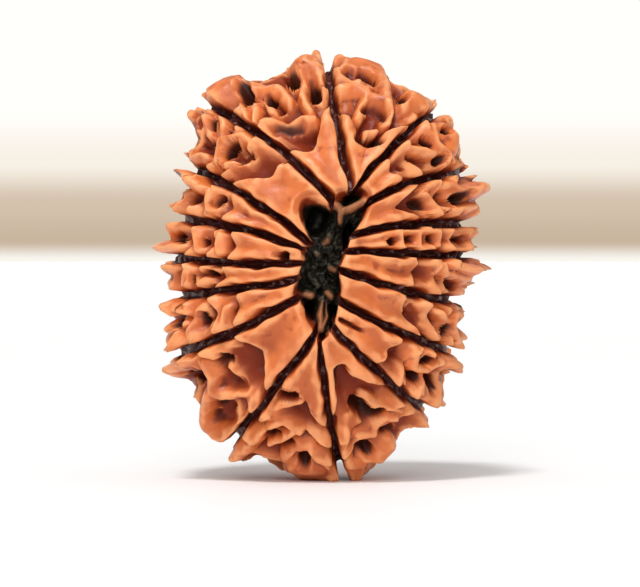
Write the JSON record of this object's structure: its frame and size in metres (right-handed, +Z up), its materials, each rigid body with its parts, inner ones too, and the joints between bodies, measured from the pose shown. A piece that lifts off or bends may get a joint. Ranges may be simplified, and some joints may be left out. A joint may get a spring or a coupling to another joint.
{
  "type": "rudraksha seed",
  "caption": "Barrel-shaped woody seed stone with deep grooves running between its ends and ridges of blunt horns and pits between them.",
  "frame": {"origin": "under the middle of the bounding box, on the surface that the seed rests on", "axes": "+Z up along the longest extent, +X to the right in the picture; -Y is the slot end of the seed's axis, which the picture looks at"},
  "size_m": [0.0242, 0.02, 0.0318],
  "materials": {
    "seed": "waxy satin, dark in the grooves"
  },
  "bodies": {
    "root": {"rudraksha_seed": "seed"}
  },
  "joints": []
}
